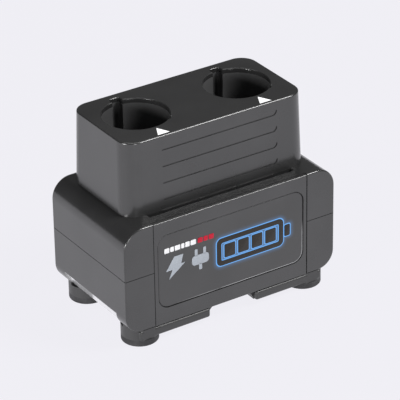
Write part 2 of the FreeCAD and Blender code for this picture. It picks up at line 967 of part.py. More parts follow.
def badge_screws():
    screws = []
    turn = FreeCAD.Rotation(X_AXIS, 90)
    for x, z in badge_screw_places():
        piece = screw(0, 0, 0, wall - 0.6, small_shank_r, small_head_r, small_head_h)
        place = V(x, backing_back + badge_board_t, z)
        piece.Placement = FreeCAD.Placement(place, turn)
        screws.append(piece)
    return screws


# ---- light strip in the deck ----
def light_bar():
    flange_top = deck_under
    flange_low = flange_top - bar_flange_t
    rib = box(
        -bar_half, bar_half, bar_y - bar_t / 2, bar_y + bar_t / 2, flange_low, base_top - bar_drop
    )
    rib = rib.makeFillet(
        bar_t * 0.3, edges_along(rib, X_AXIS, lambda c: c.z > base_top - bar_drop - 0.1)
    )
    half = bar_flange_w / 2
    flange = box(
        -bar_flange_half, bar_flange_half, bar_y - half, bar_y + half, flange_low, flange_top
    )
    pads = [
        post(half * 0.7, side * strip_screw_x, bar_y, flange_low - strip_pad_h, flange_low + 0.5)
        for side in SIDES.values()
    ]
    holes = [
        post(small_shank_r + fit_gap, side * strip_screw_x, bar_y, flange_low - 2, flange_top + 1)
        for side in SIDES.values()
    ]
    return cut(fuse([rib, flange] + pads), holes)


def strip_light_board():
    half = bar_flange_w / 2
    board = box(
        -bar_flange_half,
        bar_flange_half,
        bar_y - half,
        bar_y + half,
        strip_board_top - strip_board_t,
        strip_board_top,
    )
    holes = [
        post(small_shank_r + fit_gap, side * strip_screw_x, bar_y, strip_board_top - 3, base_top)
        for side in SIDES.values()
    ]
    return cut(board, holes)


def strip_lights():
    lights = []
    step = 2 * bar_half / strip_led_count
    half = strip_led_l / 2
    for i in range(strip_led_count):
        x = -bar_half + (i + 0.5) * step
        lights.append(
            box(
                x - half,
                x + half,
                bar_y - half * 0.6,
                bar_y + half * 0.6,
                strip_board_top,
                strip_board_top + strip_led_h,
            )
        )
    return lights


def strip_screws():
    seat = strip_board_top - strip_board_t
    return [
        screw(
            side * strip_screw_x,
            bar_y,
            seat,
            base_top - 0.7,
            small_shank_r,
            small_head_r,
            small_head_h,
        )
        for side in SIDES.values()
    ]


# ---- feet, plates and boards ----
def foot(x, y):
    pad = post(foot_r, x, y, 0, foot_h)
    rim = [e for e in pad.Edges if abs(e.CenterOfMass.z) < 1e-3 and e.Length > foot_r]
    pad = pad.makeFillet(foot_edge_r, rim)
    stem = post(foot_stem_r, x, y, foot_h - 0.5, foot_h + foot_stem_h)
    access = post(housing_access_r, x, y, -1, foot_h + foot_stem_h + 1)
    return fuse([pad, stem]).cut(access)


def housing_screws():
    end = housing_seat_z + housing_screw_l
    return [
        screw(x, y, housing_seat_z, end, housing_shank_r, housing_head_r, 2.2)
        for x, y in four(foot_x, foot_y)
    ]


def tower_screws():
    end = base_top + tower_screw_l - 2
    return [
        screw(x, y, deck_under, end, tower_shank_r, post_head_r, 1.6)
        for x, y in tower_screw_places
    ]


def ballast_plate():
    top = floor_z + ballast_t
    body = box(-ballast_half_w, ballast_half_w, -ballast_half_d, ballast_half_d, floor_z, top)
    body = body.makeFillet(3.0, edges_along(body, Z_AXIS, lambda c: True))
    holes = [
        post(post_r + fit_gap, side * ballast_screw_x, 0, floor_z - 1, top + 1)
        for side in SIDES.values()
    ]
    return cut(body, holes)


def ballast_washers():
    top = floor_z + ballast_t
    washers = []
    for side in SIDES.values():
        x = side * ballast_screw_x
        ring = post(ballast_washer_r, x, 0, top, top + ballast_washer_t)
        hole = post(small_shank_r + fit_gap, x, 0, top - 1, top + 2)
        washers.append(ring.cut(hole))
    return washers


def ballast_screws():
    top = floor_z + ballast_t + ballast_washer_t
    return [
        screw(side * ballast_screw_x, 0, top, floor_z - 0.4, small_shank_r, small_head_r, 0.9)
        for side in SIDES.values()
    ]


def main_board():
    body = box(-board_half_w, board_half_w, board_front, board_rear, board_z, board_top)
    body = body.makeFillet(1.5, edges_along(body, Z_AXIS, lambda c: True))
    holes = [
        post(post_shank_r + shank_clearance, x, y, board_z - 1, board_top + 1)
        for x, y in four(post_x, post_y)
    ]
    return cut(body, holes)


def board_screws():
    end = board_z - post_screw_l + 0.5
    return [
        screw(x, y, board_top, end, post_shank_r, post_head_r, 1.6)
        for x, y in four(post_x, post_y)
    ]


def capacitors():
    cans = []
    for x in capacitor_xs:
        can = post(capacitor_r, x, capacitor_y, board_top, board_top + capacitor_h)
        top = [e for e in can.Edges if abs(e.CenterOfMass.z - board_top - capacitor_h) < 1e-3]
        cans.append(can.makeFillet(0.5, top))
    return cans


def charge_coils():
    coils = []
    for side in SIDES.values():
        x = side * coil_x
        top = board_top + coil_h
        y0, y1 = coil_y - coil_half, coil_y + coil_half
        block = box(x - coil_half, x + coil_half, y0, y1, board_top, top)
        block = block.makeFillet(1.2, edges_along(block, Z_AXIS, lambda c: True))
        coils.append(block.cut(post(coil_half * 0.55, x, coil_y, top - 0.6, top + 1)))
    return coils


def control_chips():
    y0, y1 = bay_y - chip_half, bay_y + chip_half
    return [
        box(x - chip_half, x + chip_half, y0, y1, board_top, board_top + chip_h)
        for x in (-bay_x, 0, bay_x)
    ]


def heat_sink():
    low = board_top + chip_h
    plate = box(
        -sink_half_w, sink_half_w, bay_y - sink_half_d, bay_y + sink_half_d, low, low + sink_base_t
    )
    pitch = (2 * sink_half_w - sink_fin_t) / (sink_fins - 1)
    fins = [
        box(
            -sink_half_w + i * pitch,
            -sink_half_w + i * pitch + sink_fin_t,
            bay_y - sink_half_d,
            bay_y + sink_half_d,
            low + sink_base_t - 0.5,
            low + sink_h,
        )
        for i in range(sink_fins)
    ]
    return fuse([plate] + fins)


def board_sockets():
    sockets = []
    for side in SIDES.values():
        x = side * socket_x
        sockets.append(
            box(
                x - socket_half_w,
                x + socket_half_w,
                socket_y - socket_half_d,
                socket_y + socket_half_d,
                board_top,
                board_top + socket_body_h,
            )
        )
    return sockets


def bay_harness(side):
    """Three wires from the contact board down to the socket on the main board."""
    wires = []
    under_board = block_bottom - contact_board_t
    socket_top = board_top + socket_body_h
    middle = (under_board + socket_top) / 2
    for i in range(contact_count):
        step = (i - (contact_count - 1) / 2) * harness_pitch
        x0 = side * bay_x + step
        x1 = side * socket_x + step
        start_y = bay_y - block_r + 2.2
        points = [
            V(x0, start_y, under_board),
            V(x0, start_y, middle),
            V(x1, socket_y, middle),
            V(x1, socket_y, socket_top),
        ]
        wires.append(bent_tube(points, wire_r, harness_bend))
    return wires


def power_jack():
    half = jack_w / 2
    seat = half_d - wall - fit_gap
    body = box(-half, half, jack_back, seat, board_top, board_top + jack_h)
    nose = rod(jack_nose_r, V(0, seat - 1, jack_z), V(0, jack_face, jack_z))
    bore = rod(jack_bore_r, V(0, jack_bore_back, jack_z), V(0, jack_face + 1, jack_z))
    stem_end = V(0, jack_bore_back + 1, jack_z)
    stem = rod(jack_pin_r + screw_gap, V(0, jack_back - 1, jack_z), stem_end)
    return cut(fuse([body, nose]), [bore, stem])


def power_jack_pin():
    tip = jack_face - jack_pin_set_back
    pin = rod(jack_pin_r, V(0, jack_back, jack_z), V(0, tip, jack_z))
    rim = [e for e in pin.Edges if abs(e.CenterOfMass.y - tip) < 1e-3]
    return pin.makeFillet(jack_pin_r * 0.5, rim)


def rating_label():
    low = base_bottom + 0.1
    body = box(-label_half_w, label_half_w, -label_half_d, label_half_d, low, low + label_t)
    return body.makeFillet(2.0, edges_along(body, Z_AXIS, lambda c: True))


# ---- every node ----
def all_nodes():
    nodes = {
        "lower_shell": [lower_shell()],
        "upper_shell": [upper_shell()],
        "tower_shell": [tower_shell()],
        "rear_panel": [rear_panel()],
        "front_panel": [front_panel()],
        "badge_plate": [badge_plate()],
        "badge_diffuser": [badge_diffuser()],
        "badge_light_board": [badge_light_board()],
        "badge_lights": badge_lights(),
        "badge_screws": badge_screws(),
        "light_bar": [light_bar()],
        "strip_light_board": [strip_light_board()],
        "strip_lights": strip_lights(),
        "strip_screws": strip_screws(),
        "contact_screws": contact_screws(),
        "housing_screws": housing_screws(),
        "tower_screws": tower_screws(),
        "ballast_plate": [ballast_plate()],
        "ballast_washers": ballast_washers(),
        "ballast_screws": ballast_screws(),
        "main_board": [main_board()],
        "board_screws": board_screws(),
        "capacitors": capacitors(),
        "charge_coils": charge_coils(),
        "control_chips": control_chips(),
        "heat_sink": [heat_sink()],
        "board_sockets": board_sockets(),
        "power_jack": [power_jack()],
        "power_jack_pin": [power_jack_pin()],
        "rating_label": [rating_label()],
    }
    for side_name, side in SIDES.items():
        nodes["bay_cup_" + side_name] = [bay_cup(side)]
        nodes["contact_block_" + side_name] = [contact_block(side)]
        nodes["contact_board_" + side_name] = [contact_board(side)]
        nodes["bay_harness_" + side_name] = bay_harness(side)
        nodes["alignment_arrow_" + side_name] = [arrow_prism(side * bay_x, 0)]
        for i, x in enumerate(contact_xs(side), 1):
            nodes["contact_pin_%s_%d" % (side_name, i)] = [contact_pin(x)]
            nodes["contact_spring_%s_%d" % (side_name, i)] = [contact_spring(x)]
        for end_name, end in ENDS.items():
            nodes["foot_%s_%s" % (end_name, side_name)] = [foot(side * foot_x, end * foot_y)]
            nodes["skid_%s_%s" % (end_name, side_name)] = [skid(side, end)]
    return nodes


os.makedirs("parts", exist_ok=True)
for name, shapes in all_nodes().items():
    solids = [solid for shape in shapes for solid in shape.Solids]
    whole = solids[0] if len(solids) == 1 else Part.makeCompound(solids)
    sound = whole.isValid() and all(solid.isClosed() for solid in solids)
    flag = "" if sound else "  NOT VALID"
    print("%-26s %3d solids %10.1f mm3%s" % (name, len(solids), whole.Volume, flag))
    whole.exportStep("parts/%s.step" % name)
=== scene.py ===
"""Looks of a two-bay battery charging base, built around its fixed frame. Metres, +Z up."""

import logging
import math
from collections.abc import Callable
from dataclasses import dataclass, field
from enum import Enum

import bpy
from mathutils import Matrix, Vector


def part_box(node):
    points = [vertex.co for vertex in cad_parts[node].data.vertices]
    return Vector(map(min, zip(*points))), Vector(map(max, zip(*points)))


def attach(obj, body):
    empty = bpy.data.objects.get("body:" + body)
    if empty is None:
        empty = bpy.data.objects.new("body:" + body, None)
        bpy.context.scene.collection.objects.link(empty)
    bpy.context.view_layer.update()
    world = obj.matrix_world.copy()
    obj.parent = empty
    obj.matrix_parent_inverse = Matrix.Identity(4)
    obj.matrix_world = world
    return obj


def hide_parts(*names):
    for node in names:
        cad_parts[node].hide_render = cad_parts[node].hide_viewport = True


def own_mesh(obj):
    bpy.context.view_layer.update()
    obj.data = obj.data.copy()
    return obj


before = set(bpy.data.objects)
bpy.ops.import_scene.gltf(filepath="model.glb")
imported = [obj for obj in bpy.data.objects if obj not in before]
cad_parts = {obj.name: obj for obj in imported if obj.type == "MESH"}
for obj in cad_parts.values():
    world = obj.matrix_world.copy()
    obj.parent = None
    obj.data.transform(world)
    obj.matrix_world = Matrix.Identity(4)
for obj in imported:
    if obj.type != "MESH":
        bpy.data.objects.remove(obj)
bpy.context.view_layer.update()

LOG = logging.getLogger("charging_base")
MM = 0.001
TINY = 1e-7
BASE_BODY = "charging_base"
SIDES = ("left", "right")
ENDS = ("front", "rear")
CORNERS = tuple(f"{end}_{side}" for end in ENDS for side in SIDES)
CONTACTS = (1, 2, 3)
SMOOTH_ANGLE = math.radians(35)
# How many finer layers a noise has.
PLAIN, SOFT, FINE, CRISP = 1.0, 2.0, 3.0, 4.0
# How many flats a rounded edge has.
CORNER_FLATS, HOLE_FLATS, RIM_FLATS = 6, 4, 2

# The colour sockets of a Mix node, by number, because the names are shared with other types.
MIX_SHARE, MIX_FIRST, MIX_SECOND, MIX_RESULT = 0, 6, 7, 2

Colour = tuple[float, float, float]
Point = tuple[float, float, float]
Flat = tuple[float, float]


def srgb(red: int, green: int, blue: int) -> Colour:
    """The linear colour that shaders use for a display colour given from 0 to 255."""
    shares = (value / 255 for value in (red, green, blue))
    return tuple(s / 12.92 if s <= 0.04045 else ((s + 0.055) / 1.055) ** 2.4 for s in shares)


def scaled(colour: Colour, factor: float, lift: float = 0.0) -> Colour:
    """A paler or darker colour: each channel times the factor, plus the lift."""
    return tuple(channel * factor + lift for channel in colour)


# ---- shader expressions ----
class Term:
    """A shader socket that takes part in Python expressions."""

    def __init__(self, recipe: "Recipe", socket: bpy.types.NodeSocket) -> None:
        """Keeps the recipe that the socket belongs to, and the socket."""
        self.recipe = recipe
        self.socket = socket

    def _math(self, operation: str, *values: "Term | float") -> "Term":
        """The result of one Math node on some values, given in the order of its inputs."""
        node = self.recipe.node("ShaderNodeMath", {"operation": operation}, dict(enumerate(values)))
        return Term(self.recipe, node.outputs[0])

    def __add__(self, other: "Term | float") -> "Term":
        """Sum."""
        return self._math("ADD", self, other)

    __radd__ = __add__

    def __sub__(self, other: "Term | float") -> "Term":
        """Difference."""
        return self._math("SUBTRACT", self, other)

    def __rsub__(self, other: float) -> "Term":
        """Reflected difference."""
        return self._math("SUBTRACT", other, self)

    def __mul__(self, other: "Term | float") -> "Term":
        """Product."""
        return self._math("MULTIPLY", self, other)

    __rmul__ = __mul__

    def __pow__(self, other: float) -> "Term":
        """Power."""
        return self._math("POWER", self, other)

    def __abs__(self) -> "Term":
        """Size without sign."""
        return self._math("ABSOLUTE", self)

    def fract(self) -> "Term":
        """What is left over past a whole number."""
        return self._math("FRACT", self)

    def least(self, other: "Term | float") -> "Term":
        """The smaller of two."""
        return self._math("MINIMUM", self, other)

    def most(self, other: "Term | float") -> "Term":
        """The larger of two."""
        return self._math("MAXIMUM", self, other)

    def fade(self, start: float, end: float) -> "Term":
        """A smooth step.

        Args:
            start: Where the result is 0.
            end: Where the result is 1. It may be below start.

        Returns:
            A term from 0 to 1.
        """
        low, high, first, last = (start, end, 0.0, 1.0) if start < end else (end, start, 1.0, 0.0)
        node = self.recipe.node(
            "ShaderNodeMapRange",
            {"interpolation_type": "SMOOTHSTEP"},
            {"Value": self, "From Min": low, "From Max": high, "To Min": first, "To Max": last},
        )
        return Term(self.recipe, node.outputs["Result"])


class Recipe:
    """The node tree of one material, around one Principled shader."""

    def __init__(self, name: str, **fixed: float | Colour) -> None:
        """Starts a material.

        Args:
            name: The material's name.
            fixed: Values set on the shader's own sockets, with _ for a space.
        """
        self.material = bpy.data.materials.new(name)
        self.material.use_nodes = True
        self.tree = self.material.node_tree
        self.shader = next(n for n in self.tree.nodes if n.type == "BSDF_PRINCIPLED")
        self._coords: Term | None = None
        for key, value in fixed.items():
            self.fix(key.replace("_", " "), value)

    def fix(self, name: str, value: float | Colour) -> None:
        """Sets a constant on one of the shader's sockets."""
        constant = (*value, 1.0) if isinstance(value, tuple) else value
        self.shader.inputs[name].default_value = constant

    def node(self, kind: str, settings: dict, values: dict) -> bpy.types.Node:
        """Adds a node.

        Args:
            kind: The node's type.
            settings: Its own settings, set first.
            values: Each socket's value or link, by name or number.

        Returns:
            The node.
        """
        made = self.tree.nodes.new(kind)
        for key, value in settings.items():
            setattr(made, key, value)
        for key, value in values.items():
            if isinstance(value, Term):
                self.tree.links.new(value.socket, made.inputs[key])
            elif isinstance(value, tuple) and made.inputs[key].type == "RGBA":
                made.inputs[key].default_value = (*value, 1.0)
            else:
                made.inputs[key].default_value = value
        return made

    def feed(self, name: str, value: Term) -> None:
        """Links a term to one of the shader's sockets."""
        self.tree.links.new(value.socket, self.shader.inputs[name])

    def fed(self, name: str) -> Term:
        """The term that is linked to one of the shader's sockets."""
        return Term(self, self.shader.inputs[name].links[0].from_socket)

    def place(self) -> Term:
        """Reads where the point is on the object.

        Returns:
            The place, in metres.
        """
        if self._coords is None:
            node = self.node("ShaderNodeTexCoord", {}, {})
            self._coords = Term(self, node.outputs["Object"])
        return self._coords

    def axes(self) -> tuple[Term, Term, Term]:
        """The point's x, y and z."""
        node = self.node("ShaderNodeSeparateXYZ", {}, {"Vector": self.place()})
        return tuple(Term(self, socket) for socket in node.outputs)

    def stretched(self, scale: Point) -> Term:
        """The point's place, scaled by axis, for grain that runs one way."""
        node = self.node("ShaderNodeMapping", {}, {"Vector": self.place(), "Scale": Vector(scale)})
        return Term(self, node.outputs["Vector"])

    def noise(self, scale: float, detail: float = SOFT, place: Term | None = None) -> Term:
        """Cloudy noise, about 0 to 1, of a scale in features a metre, read at a place."""
        values = {"Vector": place or self.place(), "Scale": scale, "Detail": detail}
        return Term(self, self.node("ShaderNodeTexNoise", {}, values).outputs[0])

    def cells(self, scale: float) -> Term:
        """Distance from the nearest of many scattered points, for grit, pits and pads."""
        node = self.node("ShaderNodeTexVoronoi", {}, {"Vector": self.place(), "Scale": scale})
        return Term(self, node.outputs["Distance"])

    def blend(self, share: Term, first: Colour | Term, second: Colour | Term) -> Term:
        """Mixes two colours.

        Args:
            share: How much of the second.
            first: Colour at 0.
            second: Colour at 1.

        Returns:
            The mixed colour.
        """
        values = {MIX_SHARE: share, MIX_FIRST: first, MIX_SECOND: second}
        node = self.node("ShaderNodeMix", {"data_type": "RGBA"}, values)
        return Term(self, node.outputs[MIX_RESULT])

    def relief(self, height: Term, depth: float, strength: float = 1.0) -> None:
        """Bumps the surface.

        Args:
            height: The relief, from 0 to 1.
            depth: Its real depth in metres.
            strength: Share of the effect.
        """
        values = {"Height": height, "Distance": depth, "Strength": strength}
        bump = self.node("ShaderNodeBump", {}, values)
        self.feed("Normal", Term(self, bump.outputs["Normal"]))


def box_distance(x: Term, z: Term, centre: Flat, half: Flat, corner: float) -> Term:
    """How far a point lies outside a box with round corners, on the badge's face.

    Args:
        x: The point's x.
        z: The point's z.
        centre: The box's middle.
        half: Its half width and half height.
        corner: Its corner radius.

    Returns:
        The distance, below 0 inside.
    """
    over_x = abs(x - centre[0]) - (half[0] - corner)
    over_z = abs(z - centre[1]) - (half[1] - corner)
    outside = (over_x.most(0.0) ** 2 + over_z.most(0.0) ** 2) ** 0.5
    return outside + over_x.most(over_z).least(0.0) - corner


# ---- finishes ----
@dataclass(frozen=True)
class MouldedPlastic:
    """Charcoal plastic with a fine spark-eroded grain and slightly uneven gloss."""

    name: str
    colour: Colour = (0.026, 0.026, 0.0262)
    paler: Flat = (1.22, 0.002)
    roughness: float = 0.21
    uneven: float = 0.05
    shine: float = 0.88
    cloud_scale: float = 38.0
    cloud_range: Flat = (0.3, 0.75)
    scuffs: float = 0.5
    scuff_gloss: float = 0.12
    scuff_scale: float = 22.0
    scuff_range: Flat = (0.5, 0.7)
    streak_scale: Point = (900.0, 900.0, 120.0)
    streak_range: Flat = (0.62, 0.8)
    grain: float = 2600.0
    pit_scale: float = 0.6
    pit_share: float = 0.3
    depth: float = 0.012 * MM
    strength: float = 0.4

    def recipe(self) -> Recipe:
        """Builds the plastic's nodes.

        Returns:
            The recipe, open for more to be added.
        """
        made = Recipe(self.name, Specular_IOR_Level=self.shine)
        cloud = made.noise(self.cloud_scale, FINE)
        paler = scaled(self.colour, *self.paler)
        made.feed("Base Color", made.blend(cloud.fade(*self.cloud_range), self.colour, paler))
        streaks = made.noise(1.0, CRISP, made.stretched(self.streak_scale))
        patches = made.noise(self.scuff_scale, SOFT).fade(*self.scuff_range)
        worn = streaks.fade(*self.streak_range) * patches * self.scuffs
        gloss = self.roughness + (cloud - 0.5) * self.uneven + worn * self.scuff_gloss
        made.feed("Roughness", gloss)
        sparks = made.noise(self.grain, FINE) * (1 - self.pit_share)
        pits = made.cells(self.grain * self.pit_scale) * self.pit_share
        made.relief(sparks + pits, self.depth, self.strength)
        return made

    def material(self) -> bpy.types.Material:
        """The whole material, ready to wear."""
        return self.recipe().material


@dataclass(frozen=True)
class PaintedReflectionPlastic(MouldedPlastic):
    """Shell plastic with a painted reflection: the slanted facet at each end, where fingers lift
    the base, is paled and given a clear coat.
    """

    facet_x: float = 50.5 * MM
    facet_y: float = 23.0 * MM
    facet_z: float = 16.9 * MM
    facet_blur: float = 0.05 * MM
    # Colours of the painted reflection of the floor on the end facets.
    painted_reflection: Colour = (0.6, 0.6, 0.61)
    painted_reflection_dim: Colour = (0.42, 0.42, 0.43)
    reflection_patch_scale: float = 240.0
    reflection_patch_range: Flat = (0.5, 0.8)
    lacquer_roughness: float = 0.12
    lacquer_ior: float = 1.6

    def material(self) -> bpy.types.Material:
        """Builds the finish.

        Returns:
            The material.
        """
        made = self.recipe()
        x, y, z = made.axes()
        blur = self.facet_blur
        ends = abs(x).fade(self.facet_x - 4 * blur, self.facet_x)
        below = z.fade(self.facet_z, self.facet_z - 2 * blur)
        inside = abs(y).fade(self.facet_y + blur, self.facet_y - blur)
        mask = ends * below * inside
        # Painted reflection of the floor on the end facets: pale grey in uneven patches, blended
        # over the plastic's colour.
        wear = made.noise(self.reflection_patch_scale, CRISP).fade(*self.reflection_patch_range)
        lacquer = made.blend(wear, self.painted_reflection, self.painted_reflection_dim)
        made.feed("Base Color", made.blend(mask, made.fed("Base Color"), lacquer))
        made.feed("Coat Weight", mask)
        made.fix("Coat Roughness", self.lacquer_roughness)
        made.fix("Coat IOR", self.lacquer_ior)
        return made.material


@dataclass(frozen=True)
class Rubber:
    """Matt rubber with grit and pale rub marks."""

    name: str
    colour: Colour = (0.026, 0.026, 0.027)
    rubbed: Flat = (2.1, 0.006)
    roughness: float = 0.58
    uneven: float = 0.2
    shine: float = 0.45
    rub_scale: float = 160.0
    rub_range: Flat = (0.38, 0.72)
    grit_scale: float = 900.0
    grit_share: float = 0.6
    depth: float = 0.08 * MM
    strength: float = 0.7

    def material(self) -> bpy.types.Material:
        """Builds the finish.

        Returns:
            The material.
        """
        made = Recipe(self.name, Specular_IOR_Level=self.shine)
        grit = made.cells(self.grit_scale)
        cloud = made.noise(self.rub_scale, CRISP)
        rubbed = scaled(self.colour, *self.rubbed)
        made.feed("Base Color", made.blend(cloud.fade(*self.rub_range), self.colour, rubbed))
        made.feed("Roughness", self.roughness + cloud * self.uneven)
        height = grit * self.grit_share + cloud * (1 - self.grit_share)
        made.relief(height, self.depth, self.strength)
        return made.material


@dataclass(frozen=True)
class Metal:
    """Metal with fine lines from rolling or turning."""

    name: str
    colour: Colour
    roughness: float = 0.28
    lines: Point = (120.0, 4000.0, 4000.0)
    line_gloss: float = 0.14
    dull: float = 0.7
    stain_scale: float = 260.0
    stain_range: Flat = (0.4, 0.8)
    stain_gloss: float = 0.06
    depth: float = 0.012 * MM
    strength: float = 0.5

    def material(self) -> bpy.types.Material:
        """Builds the finish.

        Returns:
            The material.
        """
        made = Recipe(self.name, Metallic=1.0)
        lines = made.noise(1.0, FINE, made.stretched(self.lines))
        stain = made.noise(self.stain_scale, CRISP)
        dull = scaled(self.colour, self.dull)
        made.feed("Base Color", made.blend(stain.fade(*self.stain_range), self.colour, dull))
        gloss = self.roughness + lines * self.line_gloss + stain * self.stain_gloss
        made.feed("Roughness", gloss)
        made.relief(lines, self.depth, self.strength)
        return made.material


@dataclass(frozen=True)
class CircuitBoard:
    """Solder-masked board with copper tracks and plated pads under the mask."""

    name: str
    mask: Colour = (0.006, 0.055, 0.022)
    track_paler: float = 2.4
    plating: Colour = (0.55, 0.52, 0.46)
    lanes_in_a_metre: float = 600.0
    lane_edge: Flat = (0.3, 0.2)
    route_scale: float = 90.0
    route_edge: Flat = (0.46, 0.5)
    pad_scale: float = 420.0
    pad_edge: Flat = (0.16, 0.12)
    roughness: float = 0.34
    uneven: float = 0.15
    grain: float = 700.0
    depth: float = 0.03 * MM
    lacquer: float = 0.4
    lacquer_roughness: float = 0.15

    def material(self) -> bpy.types.Material:
        """Builds the finish.

        Returns:
            The material.
        """
        made = Recipe(
            self.name,
            Coat_Weight=self.lacquer,
            Coat_Roughness=self.lacquer_roughness,
        )
        _, y, _ = made.axes()
        lanes = abs((y * self.lanes_in_a_metre).fract() - 0.5)
        route = made.noise(self.route_scale, PLAIN).fade(*self.route_edge)
        track = lanes.fade(*self.lane_edge) * route
        pads = made.cells(self.pad_scale).fade(*self.pad_edge)
        green = made.blend(track, self.mask, scaled(self.mask, self.track_paler))
        made.feed("Base Color", made.blend(pads, green, self.plating))
        made.feed("Metallic", pads)
        made.feed("Roughness", self.roughness + made.noise(self.grain, SOFT) * self.uneven)
        made.relief(track * 0.5 + pads * 0.5, self.depth)
        return made.material


@dataclass(frozen=True)
class ClearPart:
    """Tinted acrylic: smoked where it hides a lamp, milky where it spreads its light."""

    name: str
    colour: Colour
    roughness: float = 0.1
    paler: float = 1.3
    clear_share: float = 0.15
    ior: float = 1.49
    cloud_scale: float = 75.0
    wipe_scale: Point = (60.0, 2500.0, 2500.0)
    wipe_gloss: float = 0.08
    grain: float = 1900.0
    depth: float = 0.006 * MM

    def material(self) -> bpy.types.Material:
        """Builds the finish.

        Returns:
            The material.
        """
        made = Recipe(self.name, Transmission_Weight=self.clear_share, IOR=self.ior)
        paler = scaled(self.colour, self.paler)
        made.feed("Base Color", made.blend(made.noise(self.cloud_scale, FINE), self.colour, paler))
        wiped = made.noise(1.0, CRISP, made.stretched(self.wipe_scale))
        made.feed("Roughness", self.roughness + wiped * self.wipe_gloss)
        made.relief(made.noise(self.grain, SOFT), self.depth)
        return made.material


@dataclass(frozen=True)
class Lamp:
    """The lens of a small surface-mounted lamp, lit in its middle."""

    name: str
    glow: Colour
    strength: float
    dim: float = 0.5
    lens: Colour = (0.62, 0.62, 0.55)
    phosphor: Colour = (0.8, 0.72, 0.3)
    roughness: float = 0.25
    spot_scale: float = 900.0
    spot_edge: Flat = (0.5, 0.2)
    depth: float = 0.04 * MM

    def material(self) -> bpy.types.Material:
        """Builds the finish.

        Returns:
            The material.
        """
        made = Recipe(self.name, Emission_Strength=self.strength, Roughness=self.roughness)
        spots = made.cells(self.spot_scale).fade(*self.spot_edge)
        made.feed("Base Color", made.blend(spots, self.lens, self.phosphor))
        made.feed("Emission Color", made.blend(spots, scaled(self.glow, self.dim), self.glow))
        made.relief(spots, self.depth)
        return made.material


@dataclass(frozen=True)
class Coated:
    """A plain coating such as ink, sleeve or epoxy, with specks and a fine relief.

    One with a lift above 0 also gives off a little light of its own colour, a painted glow: the
    coating is no lamp.
    """

    name: str
    colour: Colour
    speck: Colour
    roughness: float = 0.4
    scale: float = 900.0
    depth: float = 0.02 * MM
    amount: float = 0.5
    speck_range: Flat = (0.45, 0.75)
    patch_scale: float = 0.12
    patch_range: Flat = (0.4, 0.9)
    patch_amount: float = 0.15
    patch_gloss: float = 0.16
    shine: float = 0.5
    lift: float = 0.0

    def material(self) -> bpy.types.Material:
        """Builds the finish.

        Returns:
            The material.
        """
        # A lift above 0 is a painted glow in the coating's own colour.
        made = Recipe(
            self.name,
            Specular_IOR_Level=self.shine,
            Emission_Strength=self.lift,
            Emission_Color=self.colour,
        )
        specks = made.noise(self.scale, CRISP)
        patch = made.noise(self.scale * self.patch_scale, SOFT)
        faded = patch.fade(*self.patch_range) * self.patch_amount
        share = specks.fade(*self.speck_range) * self.amount + faded
        made.feed("Base Color", made.blend(share, self.colour, self.speck))
        made.feed("Roughness", self.roughness + (patch - 0.5) * self.patch_gloss)
        made.relief(specks, self.depth)
        return made.material


class Trim(Enum):
    """The finishes that CAD nodes and new pieces wear."""

    HOUSING = PaintedReflectionPlastic("housing_plastic")
    SKID = MouldedPlastic("skid_plastic", roughness=0.42, scuffs=0.9, shine=0.7)
    TOWER = MouldedPlastic("tower_plastic")
    PANEL = MouldedPlastic("panel_plastic")
    CUP = MouldedPlastic("cup_plastic", colour=(0.075, 0.075, 0.076), roughness=0.6, shine=0.25)
    BLOCK = MouldedPlastic("block_plastic", colour=(0.016, 0.016, 0.017), roughness=0.45)
    JACK = MouldedPlastic("jack_plastic", colour=(0.02, 0.02, 0.02), roughness=0.5)
    SOCKET = MouldedPlastic("socket_nylon", colour=(0.62, 0.6, 0.54), roughness=0.5, grain=1800.0)
    FOOT = Rubber("foot_rubber")
    SCREW = Metal("screw_steel", (0.42, 0.42, 0.41), 0.3, (2500.0, 2500.0, 200.0))
    BALLAST = Metal("ballast_steel", (0.5, 0.5, 0.49), 0.36)
    CONTACT = Metal("contact_metal", (0.86, 0.66, 0.3), 0.18, (3000.0, 3000.0, 300.0))
    SPRING = Metal("spring_steel", (0.55, 0.55, 0.54), 0.22, (900.0, 900.0, 5000.0))
    SINK = Metal("sink_aluminium", (0.6, 0.61, 0.62), 0.34, (4000.0, 90.0, 900.0))
    FOIL = Metal("label_foil", (0.72, 0.72, 0.73), 0.42, (80.0, 2400.0, 2400.0))
    BOARD = CircuitBoard("circuit_board")
    SMOKED = ClearPart("smoked_acrylic", (0.01, 0.01, 0.011), 0.16)
    MILKY = ClearPart("light_acrylic", (0.7, 0.74, 0.78), 0.4)
    LAMP = Lamp("led_lens", (0.1, 0.38, 0.9), 0.6)
    CAPACITOR = Coated("capacitor_sleeve", (0.01, 0.012, 0.03), (0.1, 0.11, 0.14), 0.32)
    COIL = Coated("coil_ferrite", (0.05, 0.048, 0.046), (0.12, 0.11, 0.1), 0.7, 1500.0, 0.06 * MM)
    CHIP = Coated("chip_epoxy", (0.02, 0.02, 0.021), (0.06, 0.06, 0.06), 0.55, 2600.0)
    WIRE = Coated("wire_sleeve", (0.3, 0.012, 0.01), (0.42, 0.04, 0.03), 0.38, 1200.0)
    # The arrows' lift is a painted glow that keeps the white ink bright.
    ARROW = Coated(
        "arrow_ink", (0.9, 0.9, 0.9), (0.8, 0.8, 0.79), 0.45, 2400.0, 0.01 * MM, 0.25, lift=0.55
    )
    WHITE_INK = Coated(
        "white_ink", (0.86, 0.86, 0.87), (0.6, 0.6, 0.6), 0.4, 2400.0, 0.01 * MM, 0.3
    )
    RED_INK = Coated(
        "red_ink", (0.5, 0.004, 0.025), (0.3, 0.006, 0.02), 0.45, 2400.0, 0.01 * MM, 0.3, shine=0.3
    )
    SILVER_INK = Coated(
        "silver_ink", (0.34, 0.37, 0.41), (0.5, 0.53, 0.56), 0.42, 3200.0, 0.01 * MM
    )
    DARK_INK = Coated(
        "dark_ink", (0.02, 0.017, 0.014), (0.04, 0.033, 0.026), 0.3, 2600.0, 0.01 * MM, shine=0.3
    )


